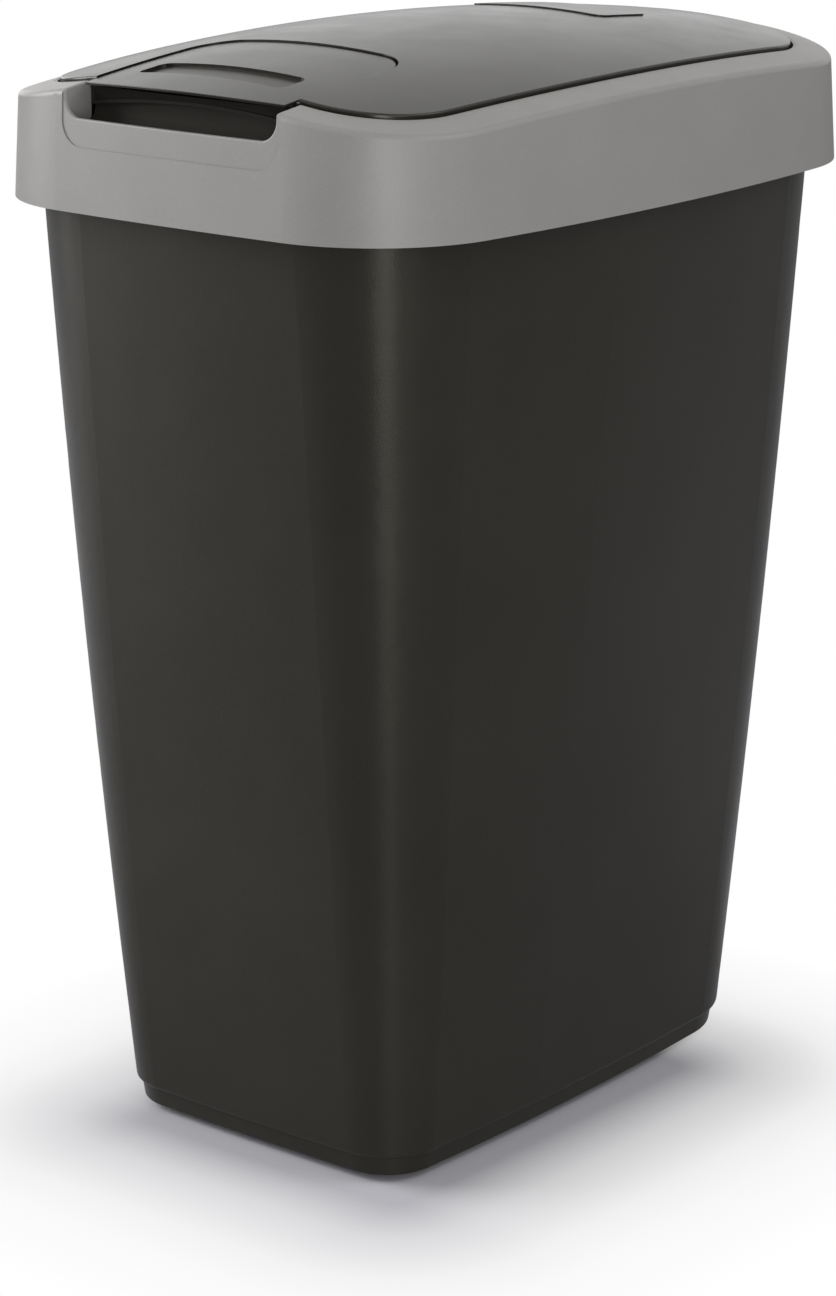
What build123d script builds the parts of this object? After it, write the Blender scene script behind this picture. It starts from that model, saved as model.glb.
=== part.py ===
from build123d import *
import math
import os

# Kitchen bin with a lift-off collar and a hinged, domed lid.
# Millimetres. X is the width, the finger notch faces -Y, Z is up, and z = 0 is the floor.

# Driving sizes: the collar at its lower edge, and the crown of the lid
rim_half_width = 156.0
rim_half_depth = 224.5
lid_crown_z = 599.8

# Plan shape of the collar at its lower edge: four bowed sides and four round corners
rim_side_bow = 18.7
rim_front_bow = 6.3
rim_rear_bow = 3.6
rim_front_corner = 76.0
rim_rear_corner = 93.0
rim_widest_y = -32.0

# Cutting tools run past the object by these lengths, and points this near each other are the same
beyond = 40.0
cut_over = 1.0
overlap = 0.4
same = 0.001
tall = lid_crown_z + beyond
front_y = -rim_half_depth - beyond

# The dome that the collar's top, the lid and the tongue all follow
lid_stand = 1.5
collar_crown_z = lid_crown_z - lid_stand
dome_drop_x = 0.952e-3
dome_drop_y = 0.336e-3
dome_reach = rim_half_depth + beyond
dome_core_radius = 380.0
dome_half_angle = 21.0
collar_front_z = collar_crown_z - dome_drop_y * rim_half_depth ** 2

# Collar
collar_height = 83.3
collar_bottom_z = collar_crown_z - collar_height
collar_wall = 2.5
collar_draft = 3.4
collar_draft_height = 62.0
collar_band = 22.3
collar_crease_radius = 3.2
collar_edge_radius = 1.5
collar_skirt_depth = 62.3
collar_skirt_bottom_z = collar_crown_z - collar_skirt_depth
collar_skirt_roof_gap = 0.5
collar_rib = 2.0
collar_rib_seat_gap = 0.3
collar_rib_shares_y = (-0.67, -0.33, 0.0, 0.33, 0.62)
collar_rib_share_x = 0.64

# Finger notch in the collar, and the shallow panel around it
notch_half_width = 71.5
notch_depth = 18.4
notch_bottom_z = collar_front_z - notch_depth
notch_corner = 10.0
notch_inner_depth = 30.4
notch_inner_bottom_z = collar_front_z - notch_inner_depth
notch_inner_corner = 2.0
notch_overrun = 8.0
notch_cheek = 2.5
notch_edge_radius = 0.9
panel_side = 1.8
panel_height = 32.9
panel_bottom_z = collar_front_z - panel_height
panel_corner = 14.0
panel_depth = 0.6

# Tub, inside the collar by a setback
tub_setback_x = 13.0
tub_setback_y = 13.2
tub_half_width = rim_half_width - tub_setback_x
tub_half_depth = rim_half_depth - tub_setback_y
tub_top_drop = 51.8
tub_top_z = lid_crown_z - tub_top_drop
tub_side_bow = 18.6
tub_front_bow = 6.1
tub_rear_bow = 3.6
tub_front_corner = 67.3
tub_rear_corner = 85.6
tub_widest_y = -32.0
tub_taper_x = 37.6
tub_taper_y = 41.4
foot_half_width = tub_half_width - tub_taper_x
foot_half_depth = tub_half_depth - tub_taper_y
foot_side_bow = 6.2
foot_front_bow = 2.3
foot_rear_bow = 2.3
foot_front_corner = 34.0
foot_rear_corner = 58.0
foot_widest_y = -50.0
tub_bulge = 1.9
tub_wall = 2.5
tub_floor = 3.0
tub_sections = 3
flange_width = 6.0
flange_thickness = 3.0
flange_hem = 7.0
flange_hem_wall = 2.0
foot_edge_radius = 3.5

# Plinth under the tub, and the shallow ribs in its recess
plinth_bottom_z = 4.0
plinth_height = 10.6
plinth_top_z = plinth_bottom_z + plinth_height
plinth_step = 2.6
plinth_taper = 1.6
plinth_edge_radius = 1.5
floor_rib = 2.5
floor_rib_depth = 3.0
floor_rib_pitch = 56.0

# Feet, set back under the plinth so that they stay out of sight
pad_radius = 8.0
pad_setback = 30.0
pad_seat_wall = 2.0

# Lid
lid_gap = 1.5
lid_wall = 2.6
lid_skirt_setback = 6.2
lid_skirt_wall = 2.3
lid_skirt_depth = 14.0
lid_rib = 1.8
lid_rib_depth = 9.0
lid_rib_pitch_x = 60.0
lid_rib_shares_y = (-0.2, 0.15, 0.5)
lid_edge_radius = 1.2
rest_tab_length = 26.0
rest_tab_thickness = 3.0
rest_tab_reach = 1.0
rest_tab_shares = (-0.53, 0.31)
rest_gap = 0.3

# Tongue that the fingers lift, and the pan that it lies in
tongue_side_clear = 4.0
tongue_half_width = notch_half_width - tongue_side_clear
tongue_setback = 5.0
tongue_front_y = -rim_half_depth + tongue_setback
tongue_front_bow = 11.0
tongue_length = 108.8
tongue_rear_y = tongue_front_y + tongue_length
tongue_corner = 20.0
tongue_gap = 1.3
tongue_wall = 2.6
tongue_sink = 0.95
tongue_lip = 1.3
tongue_lip_undercut = 6.0
tongue_edge_radius = 0.4
pan_depth = 12.0
pan_wall = 1.8

# Concave wall behind the notch, part of the lid
cup_setback = 21.0
cup_face_y = -rim_half_depth + cup_setback
cup_hollow = 4.7
cup_wall = 2.4
cup_bottom_z = notch_bottom_z - 3.5
cup_height = 18.0
cup_top_z = cup_bottom_z + cup_height
finger_clear = 1.0

# Dish in the tongue
dish_half_width = 49.0
dish_setback = 34.0
dish_length = 21.5
dish_y = -rim_half_depth + dish_setback + dish_length / 2
dish_corner = 5.0
dish_depth = 2.0
dish_floor_wall = 2.0

# Tongue pivot
tongue_pivot_inset = 5.4
tongue_pivot_y = tongue_rear_y - tongue_pivot_inset
tongue_pivot_drop = 6.2
tongue_pin_radius = 1.5
tongue_pin_length = 20.0
tongue_pin_x = 20.0
tongue_knuckle = 8.0
tongue_knuckle_wall = 1.7
tongue_lug = 4.0
tongue_lug_side_gap = 0.3
tongue_lug_top_gap = 0.5

# Lid hinge, hidden in the rear of the collar
hinge_inset = 13.5
hinge_y = rim_half_depth - hinge_inset
hinge_depth = 13.0
hinge_z = lid_crown_z - dome_drop_y * hinge_y ** 2 - hinge_depth
hinge_share_x = 0.385
hinge_x = hinge_share_x * rim_half_width
hinge_pin_radius = 2.0
hinge_pin_length = 17.0
hinge_eye_wall = 2.3
hinge_arm_width = 8.0
hinge_arm_inner = 17.0
hinge_arm_outer = 21.5
hinge_web = 4.5
hinge_lug = 3.0
hinge_side_gap = 0.5
hinge_window_reach = 10.0
hinge_window_roof = 0.6
running_clearance = 0.05

# Plate on the lid
plate_half_width = 46.0
plate_depth = 44.0
plate_setback = 126.5
plate_y = rim_half_depth - plate_setback
plate_corner = 7.0
plate_height = 0.8
plate_seat_gap = 0.05


def quarter(half_width, reach, side_bow, end_bow, corner):
    """Centre of a round corner and its two tangent points, for bowed sides that meet it.

    The end arc passes through (0, reach) and the side arc through (half_width, 0).
    """
    end_radius = (half_width ** 2 + end_bow ** 2) / (2 * end_bow)
    side_radius = (reach ** 2 + side_bow ** 2) / (2 * side_bow)
    end_centre = (0.0, reach - end_radius)
    side_centre = (half_width - side_radius, 0.0)
    dx = side_centre[0] - end_centre[0]
    dy = side_centre[1] - end_centre[1]
    apart = math.hypot(dx, dy)
    to_end = end_radius - corner
    to_side = side_radius - corner
    along = (to_end ** 2 - to_side ** 2 + apart ** 2) / (2 * apart)
    across = math.sqrt(to_end ** 2 - along ** 2)
    ux = dx / apart
    uy = dy / apart
    choices = []
    for sign in (1, -1):
        cx = end_centre[0] + ux * along - uy * across * sign
        cy = end_centre[1] + uy * along + ux * across * sign
        choices.append((math.hypot(cx - half_width, cy - reach), cx, cy))
    cx, cy = min(choices)[1:]
    end_touch = stretch(end_centre, (cx, cy), end_radius)
    side_touch = stretch(side_centre, (cx, cy), side_radius)
    diagonal = (end_touch[0] + side_touch[0] - 2 * cx, end_touch[1] + side_touch[1] - 2 * cy)
    middle = stretch((cx, cy), (cx + diagonal[0], cy + diagonal[1]), corner)
    side_middle = stretch(side_centre, ((side_touch[0] + half_width) / 2, side_touch[1] / 2), side_radius)
    return end_touch, middle, side_touch, side_middle


def stretch(centre, through, radius):
    """The point at the given radius from a centre, in the direction of another point."""
    dx = through[0] - centre[0]
    dy = through[1] - centre[1]
    k = radius / math.hypot(dx, dy)
    return (centre[0] + dx * k, centre[1] + dy * k)


def plan(a, b, side_bow, front_bow, rear_bow, front_corner, rear_corner, widest_y):
    """A closed face of ten tangent arcs: bowed front, sides and rear with round corners."""
    front_reach = b + widest_y
    rear_reach = b - widest_y
    front = quarter(a, front_reach, side_bow * (front_reach / b) ** 2, front_bow, front_corner)
    rear = quarter(a, rear_reach, side_bow * (rear_reach / b) ** 2, rear_bow, rear_corner)
    edges = []
    for sx in (1, -1):
        for sy, (end_touch, middle, side_touch, side_middle) in ((-1, front), (1, rear)):
            def place(p):
                return (sx * p[0], widest_y + sy * p[1])
            edges.append(ThreePointArc(place(end_touch), place(middle), place(side_touch)))
            edges.append(ThreePointArc(place(side_touch), place(side_middle), (sx * a, widest_y)))
    for sy, (end_touch, _, _, _), reach in ((-1, front, front_reach), (1, rear, rear_reach)):
        y = widest_y + sy * end_touch[1]
        edges.append(ThreePointArc((-end_touch[0], y), (0, widest_y + sy * reach), (end_touch[0], y)))
    return make_face(edges)


def rim_plan(inset):
    return plan(
        rim_half_width - inset,
        rim_half_depth - inset,
        rim_side_bow,
        rim_front_bow,
        rim_rear_bow,
        rim_front_corner - inset,
        rim_rear_corner - inset,
        rim_widest_y,
    )


def tub_plan(share, inset):
    """The tub's outline at a share of its height: 0 at the plinth, 1 at the collar's lower edge."""
    bulge = tub_bulge * 4 * share * (1 - share)

    def between(low, high):
        return low + (high - low) * share

    return plan(
        between(foot_half_width, tub_half_width) + bulge - inset,
        between(foot_half_depth, tub_half_depth) + bulge - inset,
        between(foot_side_bow, tub_side_bow),
        between(foot_front_bow, tub_front_bow),
        between(foot_rear_bow, tub_rear_bow),
        between(foot_front_corner, tub_front_corner) - inset,
        between(foot_rear_corner, tub_rear_corner) - inset,
        between(foot_widest_y, tub_widest_y),
    )


def column(face, low, high):
    return extrude(Pos(0, 0, low) * face, high - low)


def tower(face):
    """A column from the collar's lower edge to above the lid."""
    return column(face, collar_bottom_z, tall)


def dome(crown):
    """Everything under the domed surface whose crown is at the given height."""
    radius = 1 / (2 * dome_drop_x)
    centre_z = crown - radius
    end_z = crown - dome_drop_y * dome_reach ** 2
    base_z = centre_z + dome_core_radius
    front = (0, -dome_reach, end_z)
    rear = (0, dome_reach, end_z)
    below = Polyline(rear, (0, dome_reach, base_z), (0, -dome_reach, base_z), front)
    profile = make_face([ThreePointArc(front, (0, 0, crown), rear), below])
    pivot = Axis((0, 0, centre_z), (0, 1, 0))
    return revolve(profile.rotate(pivot, -dome_half_angle), pivot, 2 * dome_half_angle)


def dome_z(crown, x, y):
    return crown - dome_drop_x * x ** 2 - dome_drop_y * y ** 2


def slab(shape, crown, thickness):
    """The layer of a column that lies between a dome and a lower one."""
    return (shape & dome(crown)) - dome(crown - thickness)


def block(x0, x1, y0, y1, z0, z1):
    return Pos((x0 + x1) / 2, (y0 + y1) / 2, (z0 + z1) / 2) * Box(x1 - x0, y1 - y0, z1 - z0)


def wall_along_x(y, thickness, z0, z1):
    """A thin upright wall across the whole width."""
    return block(-rim_half_width, rim_half_width, y - thickness / 2, y + thickness / 2, z0, z1)


def wall_along_y(x, thickness, z0, z1):
    """A thin upright wall over the whole depth."""
    return block(x - thickness / 2, x + thickness / 2, -rim_half_depth, rim_half_depth, z0, z1)


def rod(radius, x0, x1, y, z):
    return Pos((x0 + x1) / 2, y, z) * Rot(0, 90, 0) * Cylinder(radius, x1 - x0)


def bore(radius, x0, x1, y, z):
    return rod(radius + running_clearance, x0 - cut_over, x1 + cut_over, y, z)


def tub_height_share(z):
    return (z - plinth_top_z) / (collar_bottom_z - plinth_top_z)


def tub_loft(low, high, inset):
    levels = [low + (high - low) * k / tub_sections for k in range(tub_sections + 1)]
    return loft([Pos(0, 0, z) * tub_plan(tub_height_share(z), inset) for z in levels])


def plinth_plan(height_share, inset):
    return tub_plan(0.0, plinth_step + plinth_taper * (1 - height_share) + inset)


def make_tub():
    outer = tub_loft(plinth_top_z, tub_top_z, 0)
    outer = fillet(outer.edges().group_by(Axis.Z)[0], foot_edge_radius)
    plinth = loft([
        Pos(0, 0, plinth_bottom_z) * plinth_plan(0, 0),
        Pos(0, 0, plinth_top_z + overlap) * plinth_plan(1, 0),
    ])
    plinth = fillet(plinth.edges().group_by(Axis.Z)[0], plinth_edge_radius)
    top_share = tub_height_share(tub_top_z)
    flange = column(tub_plan(top_share, -flange_width), tub_top_z - flange_thickness, tub_top_z)
    hem = column(tub_plan(top_share, -flange_width), tub_top_z - flange_hem, tub_top_z)
    hem -= column(tub_plan(top_share, flange_hem_wall - flange_width), tub_top_z - flange_hem, tub_top_z)
    solid = outer + plinth + flange + hem
    solid -= tub_loft(plinth_top_z + tub_floor, tub_top_z + cut_over, tub_wall)
    recess = column(plinth_plan(0, tub_wall), 0, plinth_top_z)
    return solid - (recess - floor_ribs() - pad_seats())


def floor_ribs():
    """A lattice of shallow ribs under the tub's floor."""
    low = plinth_top_z - floor_rib_depth
    high = plinth_top_z + overlap
    count = int(foot_half_depth // floor_rib_pitch)
    ribs = [wall_along_x(k * floor_rib_pitch, floor_rib, low, high) for k in range(-count, count + 1)]
    ribs.append(wall_along_y(0, floor_rib, low, high))
    return ribs


def pad_places():
    """The centre of each foot, named for its corner."""
    places = {}
    for y_name, sy in (("front", -1), ("rear", 1)):
        for x_name, sx in (("left", -1), ("right", 1)):
            place = Pos(sx * (foot_half_width - pad_setback), sy * (foot_half_depth - pad_setback))
            places[f"foot_{y_name}_{x_name}"] = place
    return places


def pad_seats():
    disc = Circle(pad_radius + pad_seat_wall)
    return [column(place * disc, plinth_bottom_z, plinth_top_z) for place in pad_places().values()]


def make_feet():
    disc = Circle(pad_radius)
    return {name: column(place * disc, 0, plinth_bottom_z) for name, place in pad_places().items()}


def collar_loft(inset, low):
    height = tall - low
    draft = collar_draft / collar_draft_height
    start = inset + draft * (low - collar_bottom_z)
    return loft([
        Pos(0, 0, low) * rim_plan(start),
        Pos(0, 0, low + height) * rim_plan(start + draft * height),
    ])


def notch_tool(half_width, bottom, corner, near_y, rear_y):
    """A prism along Y, open at the top, with round lower corners."""
    height = tall - bottom
    face = Plane.XZ * Pos(0, bottom + height / 2) * RectangleRounded(2 * half_width, height, corner)
    return Pos(0, rear_y, 0) * extrude(face, rear_y - near_y)


def rim_edges(shape):
    """The edges that run round the top of the collar, without the upright ones."""
    middle_z = (collar_bottom_z + collar_crown_z) / 2
    high = shape.edges().filter_by_position(Axis.Z, middle_z, tall)
    return [edge for edge in high if edge.bounding_box().size.Z < edge.length / 2]


def collar_ribs():
    """Ribs in the collar's hollow that stand on the tub's flange."""
    seat_z = tub_top_z + collar_rib_seat_gap
    ribs = [wall_along_x(share * rim_half_depth, collar_rib, seat_z, tall) for share in collar_rib_shares_y]
    for side in (-1, 1):
        ribs.append(wall_along_y(side * collar_rib_share_x * rim_half_width, collar_rib, seat_z, tall))
        cheek = wall_along_y(side * (notch_half_width + notch_cheek / 2), notch_cheek, seat_z, tall)
        ribs.append(cheek & block(-rim_half_width, rim_half_width, front_y, 0, seat_z, tall))
    return ribs


def notch_edges(shape, notch):
    """The outer edges of the notch, from the band's top down one side and up the other."""
    band_y = collar_band - collar_edge_radius - rim_half_depth
    edges = []
    for edge in shape.edges():
        points = [Vertex(*edge.position_at(k)) for k in (0, 0.5, 1)]
        on_notch = max(point.distance_to(notch) for point in points) < same
        if on_notch and points[1].Y < band_y and edge.geom_type != GeomType.LINE:
            edges.append(edge)
    return edges


def collar_outside(opening, notch):
    """The collar as a solid ring, with its rounded edges, the shallow panel and the notch."""
    outer = collar_loft(0, collar_bottom_z) & dome(collar_crown_z)
    outer = fillet(rim_edges(outer), collar_crease_radius) - opening
    mouth = [edge for edge in rim_edges(outer) if edge.distance_to(opening) < same]
    outer = fillet(mouth, collar_edge_radius)
    skin = collar_loft(-cut_over, collar_bottom_z) - collar_loft(panel_depth, collar_bottom_z)
    outer -= skin & notch_tool(notch_half_width + panel_side, panel_bottom_z, panel_corner,
                               front_y, -rim_half_depth / 2)
    outer -= notch
    return fillet(notch_edges(outer, notch), notch_edge_radius)


def make_collar():
    opening = tower(rim_plan(collar_band))
    notch_rear = cup_face_y + notch_overrun
    notch = notch_tool(notch_half_width, notch_bottom_z, notch_corner, front_y, notch_rear)
    outer = collar_outside(opening, notch)
    cavity = collar_loft(collar_wall, collar_bottom_z) & dome(collar_crown_z - collar_wall)
    skirt = column(rim_plan(collar_band - collar_wall), collar_skirt_bottom_z, tall)
    skirt &= dome(collar_crown_z - collar_skirt_roof_gap)
    rib_room = cavity - tower(rim_plan(collar_band - collar_wall / 2))
    collar = (outer - cavity) + skirt + [rib_room & rib for rib in collar_ribs()]
    collar -= opening
    collar = collar + hinge_lugs() + rest_tabs()
    skirt_y = collar_band - collar_wall - cut_over - rim_half_depth
    collar -= notch
    collar -= notch_tool(notch_half_width, notch_inner_bottom_z, notch_inner_corner, skirt_y, notch_rear)
    return collar - hinge_windows()


def rest_tabs():
    """Short ledges inside the collar that hold the lid's skirt when it is shut."""
    inner = rim_plan(collar_band + lid_gap + lid_skirt_setback + lid_skirt_wall + rest_tab_reach)
    ring = tower(rim_plan(collar_band - collar_wall / 2)) - tower(inner)
    layer = slab(ring, lid_crown_z - lid_skirt_depth - rest_gap, rest_tab_thickness)
    middles = [share * rim_half_depth for share in rest_tab_shares]
    return [layer & wall_along_x(y, rest_tab_length, collar_bottom_z, tall) for y in middles]


def hinge_span():
    return hinge_arm_width / 2 + hinge_side_gap


def hinge_lugs():
    lugs = []
    roof = collar_loft(collar_wall / 2, collar_bottom_z) & dome(collar_crown_z - collar_wall / 2)
    eye = hinge_pin_radius + hinge_eye_wall
    for side in (-1, 1):
        for face in (-1, 1):
            near = side * hinge_x + face * hinge_span()
            x0, x1 = sorted((near, near + face * hinge_lug))
            lug = block(x0, x1, hinge_y - eye, hinge_y + eye, hinge_z, tall) & roof
            lug += rod(eye, x0, x1, hinge_y, hinge_z)
            lugs.append(lug - bore(hinge_pin_radius, x0, x1, hinge_y, hinge_z))
    return lugs


def hinge_windows():
    """Slots in the collar's inner skirt that the lid's arms pass through."""
    half = hinge_span() + hinge_lug
    front = rim_half_depth - collar_band - hinge_window_reach
    rear = hinge_y - hinge_pin_radius - hinge_eye_wall
    top = dome_z(collar_crown_z - collar_wall - hinge_window_roof, hinge_x + half, hinge_y)
    middles = (-hinge_x, hinge_x)
    return [block(x - half, x + half, front, rear, collar_bottom_z, top) for x in middles]


def hinge_arm(x):
    """A curved arm from the pin, down and round the collar's inner edge, up to the lid."""
    x0 = x - hinge_arm_width / 2
    x1 = x + hinge_arm_width / 2
    front = hinge_y - hinge_arm_outer
    ring = rod(hinge_arm_outer, x0, x1, hinge_y, hinge_z) - rod(hinge_arm_inner, x0, x1, hinge_y, hinge_z)
    ring &= block(x0, x1, front, hinge_y + hinge_web / 2, hinge_z - hinge_arm_outer, hinge_z)
    web = block(x0, x1, hinge_y - hinge_web / 2, hinge_y + hinge_web / 2,
                hinge_z - (hinge_arm_inner + hinge_arm_outer) / 2, hinge_z)
    post = block(x0, x1, front, hinge_y - hinge_arm_inner, hinge_z - overlap, tall)
    post &= dome(lid_crown_z - lid_wall / 2)
    arm = ring + web + post + rod(hinge_pin_radius + hinge_eye_wall, x0, x1, hinge_y, hinge_z)
    return arm - bore(hinge_pin_radius, x0, x1, hinge_y, hinge_z)


def tongue_plan(grow, near_y):
    """The tongue's outline from a straight line at the front to its round rear corners."""
    half = tongue_half_width + grow
    rear = tongue_rear_y + grow
    body = Pos(0, (rear + near_y) / 2) * Rectangle(2 * half, rear - near_y)
    return fillet(body.vertices().group_by(Axis.Y)[-1], tongue_corner + grow)


def tongue_face():
    """The tongue's outline with the bowed front edge of its lip."""
    half = tongue_half_width
    side_y = tongue_front_y + tongue_front_bow
    nose = make_face([
        ThreePointArc((-half, side_y), (0, tongue_front_y), (half, side_y)),
        Polyline((half, side_y), (half, tongue_rear_y), (-half, tongue_rear_y), (-half, side_y)),
    ])
    return tongue_plan(0, front_y) & nose


def make_tongue():
    face = tongue_face()
    crown = lid_crown_z - tongue_sink
    body = tower(face)
    tongue = slab(body, crown, tongue_wall)
    undercut = body - Pos(0, tongue_lip_undercut, 0) * body
    tongue -= undercut & dome(crown - tongue_lip)
    tongue = fillet(top_outline(tongue, crown), tongue_edge_radius)
    dish = Pos(0, dish_y) * RectangleRounded(2 * dish_half_width, dish_length, dish_corner)
    tongue += slab(tower(offset(dish, dish_floor_wall)), crown - tongue_wall / 2,
                   dish_depth + dish_floor_wall - tongue_wall / 2)
    tongue -= tower(dish) - dome(crown - dish_depth)
    pivot_z = tongue_pivot_z()
    eye = tongue_pin_radius + tongue_knuckle_wall
    for side in (-1, 1):
        x0 = side * tongue_pin_x - tongue_knuckle / 2
        x1 = side * tongue_pin_x + tongue_knuckle / 2
        knuckle = block(x0, x1, tongue_pivot_y - eye, tongue_pivot_y + eye, pivot_z, tall)
        knuckle &= dome(crown - tongue_wall / 2)
        knuckle += rod(eye, x0, x1, tongue_pivot_y, pivot_z)
        tongue += knuckle
        tongue -= bore(tongue_pin_radius, x0, x1, tongue_pivot_y, pivot_z)
    return tongue


def top_outline(shape, crown):
    """The edges that run round the top of a slab, on its dome."""
    edges = []
    for edge in shape.edges():
        middle = edge.position_at(0.5)
        if abs(middle.Z - dome_z(crown, middle.X, middle.Y)) < tongue_lip / 2:
            edges.append(edge)
    return edges


def tongue_pivot_z():
    return dome_z(lid_crown_z - tongue_sink, 0, tongue_pivot_y) - tongue_pivot_drop


def tongue_lugs():
    lugs = []
    eye = tongue_pin_radius + tongue_knuckle_wall
    pivot_z = tongue_pivot_z()
    for side in (-1, 1):
        for face in (-1, 1):
            near = side * tongue_pin_x + face * (tongue_knuckle / 2 + tongue_lug_side_gap)
            x0, x1 = sorted((near, near + face * tongue_lug))
            lug = block(x0, x1, tongue_pivot_y - eye, tongue_pivot_y + eye, collar_bottom_z, pivot_z)
            lug += rod(eye, x0, x1, tongue_pivot_y, pivot_z)
            lug &= dome(lid_crown_z - tongue_sink - tongue_wall - tongue_lug_top_gap)
            lug -= dome(lid_crown_z - pan_depth - pan_wall / 2)
            lugs.append(lug - bore(tongue_pin_radius, x0, x1, tongue_pivot_y, pivot_z))
    return lugs


def cup_wall_solid():
    """The concave wall behind the finger notch."""
    half = notch_half_width - lid_gap
    middle_z = (cup_bottom_z + cup_top_z) / 2
    front = [(-half, cup_face_y, cup_bottom_z), (-half, cup_face_y + cup_hollow, middle_z),
             (-half, cup_face_y, cup_top_z)]
    rear = [(x, y + cup_wall, z) for x, y, z in reversed(front)]
    top = Line(front[-1], rear[0])
    bottom = Line(rear[-1], front[0])
    wall = make_face([ThreePointArc(*front), top, ThreePointArc(*rear), bottom])
    ceiling = dome(lid_crown_z - tongue_sink - tongue_wall - finger_clear)
    return extrude(wall, 2 * half, dir=(1, 0, 0)) & ceiling


def lid_ribs(skirt_inset):
    """A lattice of ribs under the lid, inside its skirt."""
    room = slab(tower(rim_plan(skirt_inset)), lid_crown_z - lid_wall / 2, lid_rib_depth)
    ribs = [wall_along_y(k * lid_rib_pitch_x, lid_rib, collar_bottom_z, tall) for k in (-1, 0, 1)]
    rib_y = [share * rim_half_depth for share in lid_rib_shares_y]
    ribs += [wall_along_x(y, lid_rib, collar_bottom_z, tall) for y in rib_y]
    return [room & rib for rib in ribs]


def make_lid():
    edge = collar_band + lid_gap
    lid = slab(tower(rim_plan(edge)), lid_crown_z, lid_wall)
    lid = fillet(top_outline(lid, lid_crown_z), lid_edge_radius)
    skirt_inset = edge + lid_skirt_setback
    ring = tower(rim_plan(skirt_inset)) - tower(rim_plan(skirt_inset + lid_skirt_wall))
    skirt = slab(ring, lid_crown_z - lid_wall / 2, lid_skirt_depth - lid_wall / 2)
    lid = lid + skirt + lid_ribs(skirt_inset + lid_skirt_wall / 2)
    slot = tower(tongue_plan(tongue_gap, front_y))
    lid -= slot
    pan_outer = tower(tongue_plan(tongue_gap + pan_wall, cup_face_y + cup_wall))
    pan = slab(pan_outer, lid_crown_z - lid_wall / 2, pan_depth + pan_wall - lid_wall / 2)
    pan -= slot - dome(lid_crown_z - pan_depth)
    return lid + pan + cup_wall_solid() + tongue_lugs() + [hinge_arm(x) for x in (-hinge_x, hinge_x)]


def make_plate():
    face = Pos(0, plate_y) * RectangleRounded(2 * plate_half_width, plate_depth, plate_corner)
    return slab(tower(face), lid_crown_z + plate_height, plate_height - plate_seat_gap)


def make_pins(name, radius, length, x, y, z):
    """A pair of pins along X, one on each side."""
    half = length / 2
    left = rod(radius, -x - half, -x + half, y, z)
    right = rod(radius, x - half, x + half, y, z)
    return {f"{name}_left": left, f"{name}_right": right}


def make_parts():
    parts = {
        "bin_body": make_tub(),
        "rim_frame": make_collar(),
        "lid": make_lid(),
        "lid_tongue": make_tongue(),
        "lid_plate": make_plate(),
    }
    parts.update(make_feet())
    parts.update(make_pins("hinge_pin", hinge_pin_radius, hinge_pin_length, hinge_x, hinge_y, hinge_z))
    parts.update(make_pins("tongue_pin", tongue_pin_radius, tongue_pin_length, tongue_pin_x,
                           tongue_pivot_y, tongue_pivot_z()))
    return parts


os.makedirs("parts", exist_ok=True)
for node, shape in make_parts().items():
    export_step(shape, f"parts/{node}.step")
    print(node, len(shape.solids()), round(shape.volume), shape.is_valid)
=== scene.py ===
import math
import bpy
from mathutils import Vector, Matrix

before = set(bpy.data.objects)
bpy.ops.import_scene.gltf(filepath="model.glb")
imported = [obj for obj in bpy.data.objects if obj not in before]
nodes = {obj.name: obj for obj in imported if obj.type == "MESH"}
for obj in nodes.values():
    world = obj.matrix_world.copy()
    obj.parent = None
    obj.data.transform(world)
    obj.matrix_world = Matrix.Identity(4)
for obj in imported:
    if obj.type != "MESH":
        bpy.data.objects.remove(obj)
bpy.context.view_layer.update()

print("frame loaded:", len(nodes), "nodes")


# links one node's output to another's input
def join(tree, source, output, target, into):
    tree.links.new(source.outputs[output], target.inputs[into])


def maths(tree, operation, kind="ShaderNodeMath"):
    node = tree.nodes.new(kind)
    node.operation = operation
    return node


def vectorMaths(tree, operation):
    return maths(tree, operation, "ShaderNodeVectorMath")


def noise(tree, coords, scale, detail, roughness):
    node = tree.nodes.new("ShaderNodeTexNoise")
    node.inputs["Scale"].default_value = scale
    node.inputs["Detail"].default_value = detail
    node.inputs["Roughness"].default_value = roughness
    join(tree, coords, "Object", node, "Vector")
    return node


# carries a value from one range to another; most of a noise lies between 0.3 and 0.7
def span(tree, source, output, low, high, fromLow=0.3, fromHigh=0.7):
    node = tree.nodes.new("ShaderNodeMapRange")
    node.inputs["From Min"].default_value = fromLow
    node.inputs["From Max"].default_value = fromHigh
    node.inputs["To Min"].default_value = low
    node.inputs["To Max"].default_value = high
    join(tree, source, output, node, "Value")
    return node


# matt inner face: the depth below the dome is crown - z - bow.x * x^2 - bow.y * y^2, and past innerDepth
# the roughness turns to innerRoughness, fully so at innerFade times that depth
def matInside(tree, coords, gloss, finish):
    square = vectorMaths(tree, "MULTIPLY")
    join(tree, coords, "Object", square, 0)
    join(tree, coords, "Object", square, 1)
    fall = vectorMaths(tree, "DOT_PRODUCT")
    fall.inputs[1].default_value = finish["bow"]
    join(tree, square, "Vector", fall, 0)
    height = tree.nodes.new("ShaderNodeSeparateXYZ")
    join(tree, coords, "Object", height, "Vector")
    unbowed = maths(tree, "ADD")  # the point's height if the dome were flat
    join(tree, height, "Z", unbowed, 0)
    join(tree, fall, "Value", unbowed, 1)
    deepest = finish["crown"] - finish["innerFade"] * finish["innerDepth"]
    inner = span(tree, unbowed, "Value", 1, 0, deepest, finish["crown"] - finish["innerDepth"])
    mix = tree.nodes.new("ShaderNodeMapRange")
    mix.inputs["To Max"].default_value = finish["innerRoughness"]
    join(tree, inner, "Result", mix, "Value")
    join(tree, gloss, "Result", mix, "To Min")
    return mix


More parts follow.
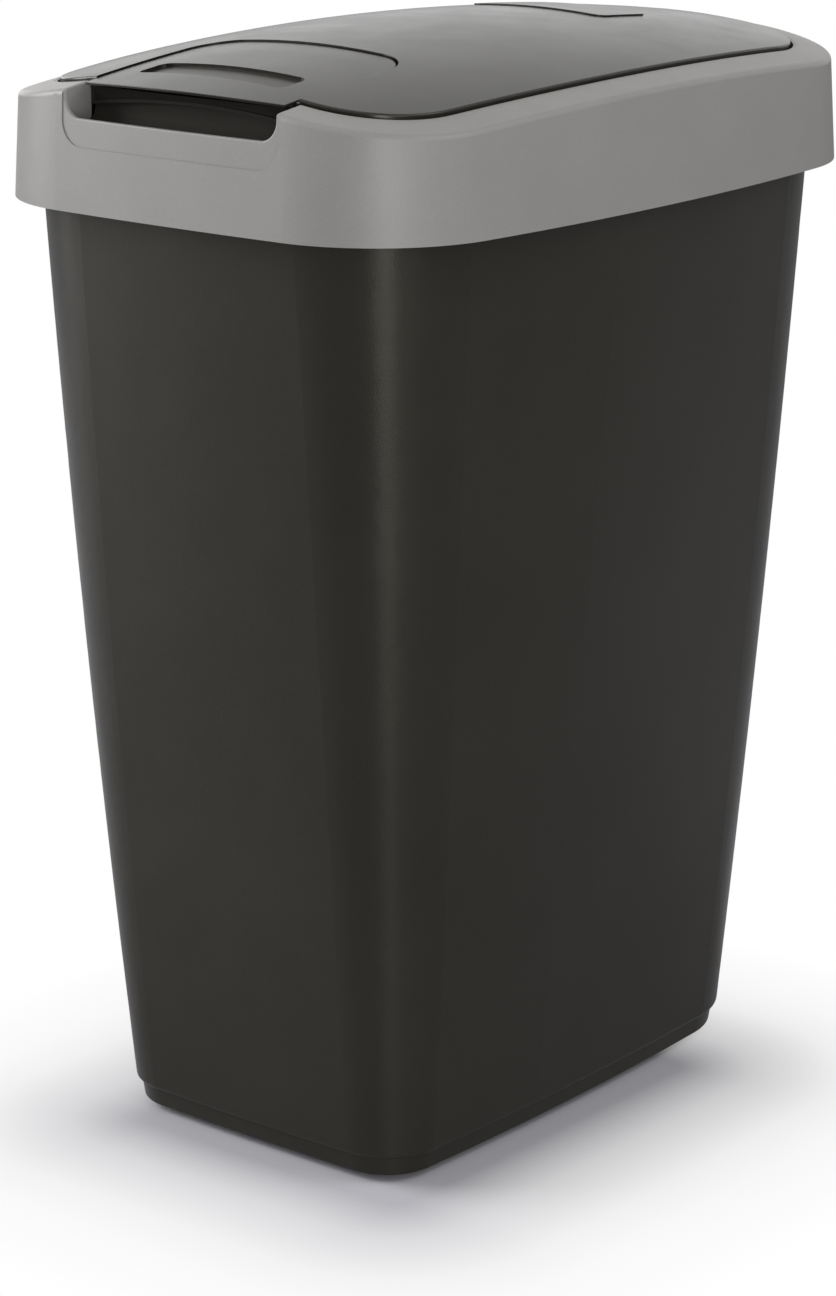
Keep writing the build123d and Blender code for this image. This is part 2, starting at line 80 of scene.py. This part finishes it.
# what every finish shares: its noises, and the places in the clouds where its two shades lie
noises = {
    "cloudDetail": 3.0, "cloudRoughness": 0.55, "darkPlace": 0.35, "lightPlace": 0.65,
    "grainDetail": 2.0, "grainRoughness": 0.6,
    "glossPerCloud": 2.3, "glossDetail": 4.0, "glossRoughness": 0.6,
}


# a surface in two close shades laid in soft clouds, with a fine grain in colour and bump, and uneven gloss
def makeFinish(name, finish):
    material = bpy.data.materials.new(name)
    material.use_nodes = True
    tree = material.node_tree
    skin = tree.nodes["Principled BSDF"]
    skin.inputs["IOR"].default_value = finish["ior"]
    skin.inputs["Specular IOR Level"].default_value = finish["shine"]
    skin.inputs["Specular Tint"].default_value = (*finish["shineTint"], 1)
    coords = tree.nodes.new("ShaderNodeTexCoord")
    clouds = noise(tree, coords, finish["cloudScale"], noises["cloudDetail"], noises["cloudRoughness"])
    shade = tree.nodes.new("ShaderNodeValToRGB")
    darkStop, lightStop = shade.color_ramp.elements
    darkStop.position = noises["darkPlace"]
    lightStop.position = noises["lightPlace"]
    darkStop.color = (*finish["dark"], 1)
    lightStop.color = (*finish["light"], 1)
    join(tree, clouds, "Fac", shade, "Fac")
    grain = noise(tree, coords, finish["grainScale"], noises["grainDetail"], noises["grainRoughness"])
    fleck = span(tree, grain, "Fac", 1 - finish["fleck"], 1 + finish["fleck"])
    tint = vectorMaths(tree, "SCALE")
    join(tree, shade, "Color", tint, 0)
    join(tree, fleck, "Result", tint, "Scale")
    join(tree, tint, "Vector", skin, "Base Color")
    glossScale = finish["cloudScale"] * noises["glossPerCloud"]
    patches = noise(tree, coords, glossScale, noises["glossDetail"], noises["glossRoughness"])
    gloss = span(tree, patches, "Fac", *finish["roughness"])
    if "innerDepth" in finish:
        gloss = matInside(tree, coords, gloss, finish)
    join(tree, gloss, "Result", skin, "Roughness")
    bump = tree.nodes.new("ShaderNodeBump")
    bump.inputs["Strength"].default_value = finish["bump"]
    bump.inputs["Distance"].default_value = finish["grainDepth"]
    join(tree, grain, "Fac", bump, "Height")
    join(tree, bump, "Normal", skin, "Normal")
    return material


def dress(material, *names):
    for name in names:
        piece = nodes[name]
        if not piece.material_slots:
            piece.data.materials.append(material)
        for place in piece.material_slots:
            place.material = material


# collar: grey, half matt
collarFinish = {
    "dark": (0.277, 0.269, 0.260), "light": (0.292, 0.284, 0.274),
    "cloudScale": 14.0, "grainScale": 1300.0, "fleck": 0.05,
    "roughness": (0.38, 0.45), "ior": 1.48, "shine": 0.5, "shineTint": (1.0, 0.99, 0.97),
    "bump": 0.25, "grainDepth": 0.0002,
}
dress(makeFinish("collarPlastic", collarFinish), "rim_frame")

# tub and its plinth: black, with highlights drawn out up the walls
tubFinish = {
    "dark": (0.0175, 0.0166, 0.0130), "light": (0.0205, 0.0195, 0.0154),
    "cloudScale": 9.0, "grainScale": 1100.0, "fleck": 0.10,
    "roughness": (0.31, 0.37), "ior": 1.46, "shine": 0.30, "shineTint": (1.0, 0.965, 0.84),
    "bump": 0.35, "grainDepth": 0.0002,
    "upwardSheen": 0.75, "sheenTurn": 0.25,
}
tubPlastic = makeFinish("tubPlastic", tubFinish)
tubSkin = tubPlastic.node_tree.nodes["Principled BSDF"]
tubSkin.inputs["Anisotropic"].default_value = tubFinish["upwardSheen"]
tubSkin.inputs["Anisotropic Rotation"].default_value = tubFinish["sheenTurn"]
dress(tubPlastic, "bin_body")

# lid and plate: smoother black outside, matt inside; crown and bow describe the dome, in metres
lidFinish = {
    "dark": (0.0135, 0.0122, 0.0098), "light": (0.0160, 0.0146, 0.0118),
    "cloudScale": 12.0, "grainScale": 1300.0, "fleck": 0.06,
    "roughness": (0.20, 0.26), "ior": 1.38, "shine": 0.5, "shineTint": (1.0, 0.97, 0.90),
    "bump": 0.10, "grainDepth": 0.0002,
    "crown": 0.5998, "bow": (0.952, 0.336, 0.0),
    "innerDepth": 0.0030, "innerFade": 1.5, "innerRoughness": 0.80,
}
dress(makeFinish("lidPlastic", lidFinish), "lid", "lid_plate")

# tongue: as the lid, with a duller floor in its dish
tongueFinish = dict(lidFinish, innerDepth=0.0021, innerRoughness=0.36)
dress(makeFinish("tonguePlastic", tongueFinish), "lid_tongue")

# feet: black rubber
footFinish = {
    "dark": (0.010, 0.010, 0.010), "light": (0.014, 0.014, 0.014),
    "cloudScale": 60.0, "grainScale": 900.0, "fleck": 0.15,
    "roughness": (0.75, 0.9), "ior": 1.5, "shine": 0.25, "shineTint": (1, 1, 1),
    "bump": 0.5, "grainDepth": 0.0003,
}
dress(makeFinish("footRubber", footFinish), *[name for name in nodes if name.startswith("foot_")])

# hinge and tongue pins: drawn steel
pinFinish = {
    "dark": (0.54, 0.54, 0.55), "light": (0.62, 0.62, 0.62),
    "cloudScale": 90.0, "grainScale": 1500.0, "fleck": 0.04,
    "roughness": (0.28, 0.40), "ior": 1.5, "shine": 0.5, "shineTint": (1, 1, 1),
    "bump": 0.15, "grainDepth": 0.0001,
    "metal": 1.0,
}
pinSteel = makeFinish("pinSteel", pinFinish)
pinSteel.node_tree.nodes["Principled BSDF"].inputs["Metallic"].default_value = pinFinish["metal"]
dress(pinSteel, *[name for name in nodes if "_pin_" in name])
print("finishes set")


# one metre out from the object: azimuth in degrees from the front face towards the right side, then up
def outward(azimuth, elevation):
    az, el = math.radians(azimuth), math.radians(elevation)
    return Vector((math.sin(az) * math.cos(el), -math.cos(az) * math.cos(el), math.sin(el)))


# camera, solved on the photo's outlines: degrees, metres and photo pixels, and a sensor in millimetres
cameraPlace = {
    "azimuth": 39.606, "elevation": 15.858, "distance": 2.143,
    "lookAt": (0.0, 0.0, 0.300), "slideRight": -0.01563, "slideUp": -0.05112,
    "photoSize": (836, 1296), "focalPixels": 3837.6, "sensor": 36.0, "farthest": 80,
}


def addCamera(settings):
    az = math.radians(settings["azimuth"])
    back = outward(settings["azimuth"], settings["elevation"])
    right = Vector((math.cos(az), math.sin(az), 0))
    up = back.cross(right)
    camera = bpy.data.cameras.new("camera")
    camera.sensor_width = settings["sensor"]
    camera.lens = settings["focalPixels"] / max(settings["photoSize"]) * settings["sensor"]
    camera.clip_end = settings["farthest"]
    rig = bpy.data.objects.new("camera", camera)
    bpy.context.scene.collection.objects.link(rig)
    place = Vector(settings["lookAt"]) + back * settings["distance"]
    place += right * settings["slideRight"]
    place += up * settings["slideUp"]
    turn = Matrix((right, up, back)).transposed().to_4x4()
    rig.matrix_world = Matrix.Translation(place) @ turn
    bpy.context.scene.camera = rig


# room: plain white where it is seen, mirrored or seen through, but a dimmer light on matt surfaces
room = {"white": (1, 1, 1, 1), "sky": 0.24}


def addRoom(settings):
    world = bpy.data.worlds.new("room")
    bpy.context.scene.world = world
    world.use_nodes = True
    tree = world.node_tree
    dim = tree.nodes["Background"]
    dim.inputs["Color"].default_value = settings["white"]
    dim.inputs["Strength"].default_value = settings["sky"]
    white = tree.nodes.new("ShaderNodeBackground")
    white.inputs["Color"].default_value = settings["white"]
    rays = tree.nodes.new("ShaderNodeLightPath")
    seenOrMirrored = maths(tree, "MAXIMUM")
    join(tree, rays, "Is Camera Ray", seenOrMirrored, 0)
    join(tree, rays, "Is Glossy Ray", seenOrMirrored, 1)
    shownWhite = maths(tree, "MAXIMUM")
    join(tree, seenOrMirrored, "Value", shownWhite, 0)
    join(tree, rays, "Is Transmission Ray", shownWhite, 1)
    mix = tree.nodes.new("ShaderNodeMixShader")
    join(tree, shownWhite, "Value", mix, 0)
    join(tree, dim, "Background", mix, 1)
    join(tree, white, "Background", mix, 2)
    join(tree, mix, "Shader", tree.nodes["World Output"], "Surface")


# softboxes, turned to the camera's lookAt point:
# azimuth and elevation in degrees, distance, width and height in metres, power in watts
softboxes = {
    "keyBox": (-58, 22, 2.1, 1.1, 1.3, 31),
    "cornerStrip": (46, 5, 2.4, 0.60, 1.3, 17),
    "sideBox": (66, 20, 2.3, 0.5, 1.3, 5),
    "rightBox": (105, 50, 2.2, 1.0, 1.3, 10),
    "leftBox": (-110, 20, 2.2, 1.0, 1.3, 4),
    "topBox": (-20, 80, 2.4, 2.0, 2.0, 4),
}


def addSoftbox(name, aim, azimuth, elevation, distance, width, height, power):
    back = outward(azimuth, elevation)
    lamp = bpy.data.lights.new(name, "AREA")
    lamp.shape = "RECTANGLE"
    lamp.size = width
    lamp.size_y = height
    lamp.energy = power
    rig = bpy.data.objects.new(name, lamp)
    bpy.context.scene.collection.objects.link(rig)
    turn = back.to_track_quat("Z", "Y").to_matrix().to_4x4()
    rig.matrix_world = Matrix.Translation(back * distance + Vector(aim)) @ turn


# floor: it keeps the shadow near the base, and further out the camera sees it turn to plain white
floorLook = {
    "size": 60, "colour": (0.62, 0.615, 0.66), "roughness": 0.9, "shine": 0.0,
    "baseHalf": (0.085, 0.120, 0.0),
    "baseShift": (-0.020, 0.050, 0.0),  # added to the floor's place, so the left and rear whiten sooner
    "whiteReach": 0.25,  # metres out from the rectangle that baseHalf gives
    # steps outwards, each a share of whiteReach and a share of white
    "whitening": (
        (0.04, 0.0), (0.11, 0.20), (0.20, 0.45), (0.30, 0.62), (0.40, 0.80), (0.52, 0.90), (0.80, 1.0),
    ),
}


def addFloor(settings):
    bpy.ops.mesh.primitive_plane_add(size=settings["size"])
    floor = bpy.context.object
    floor.name = "floor"
    material = bpy.data.materials.new("paleFloor")
    material.use_nodes = True
    tree = material.node_tree
    skin = tree.nodes["Principled BSDF"]
    skin.inputs["Base Color"].default_value = (*settings["colour"], 1)
    skin.inputs["Roughness"].default_value = settings["roughness"]
    skin.inputs["Specular IOR Level"].default_value = settings["shine"]
    coords = tree.nodes.new("ShaderNodeTexCoord")
    shifted = vectorMaths(tree, "ADD")
    shifted.inputs[1].default_value = settings["baseShift"]
    join(tree, coords, "Object", shifted, 0)
    folded = vectorMaths(tree, "ABSOLUTE")
    join(tree, shifted, "Vector", folded, 0)
    beyond = vectorMaths(tree, "SUBTRACT")
    beyond.inputs[1].default_value = settings["baseHalf"]
    join(tree, folded, "Vector", beyond, 0)
    outside = vectorMaths(tree, "MAXIMUM")
    join(tree, beyond, "Vector", outside, 0)
    away = vectorMaths(tree, "LENGTH")
    join(tree, outside, "Vector", away, 0)
    share = span(tree, away, "Value", 0, 1, 0, settings["whiteReach"])
    far = tree.nodes.new("ShaderNodeValToRGB")
    stops = far.color_ramp.elements
    while len(stops) < len(settings["whitening"]):
        stops.new(1)  # placed below
    for stop, (place, amount) in zip(stops, settings["whitening"]):
        stop.position = place
        stop.color = (amount, amount, amount, 1)
    join(tree, share, "Result", far, "Fac")
    rays = tree.nodes.new("ShaderNodeLightPath")
    seen = maths(tree, "MULTIPLY")
    join(tree, rays, "Is Camera Ray", seen, 0)
    join(tree, far, "Color", seen, 1)
    white = tree.nodes.new("ShaderNodeEmission")
    mix = tree.nodes.new("ShaderNodeMixShader")
    join(tree, seen, "Value", mix, 0)
    join(tree, skin, "BSDF", mix, 1)
    join(tree, white, "Emission", mix, 2)
    join(tree, mix, "Shader", tree.nodes["Material Output"], "Surface")
    floor.data.materials.append(material)


addCamera(cameraPlace)
addRoom(room)
for name, box in softboxes.items():
    addSoftbox(name, cameraPlace["lookAt"], *box)
addFloor(floorLook)
bpy.context.scene.view_settings.view_transform = "Standard"
print("studio set")
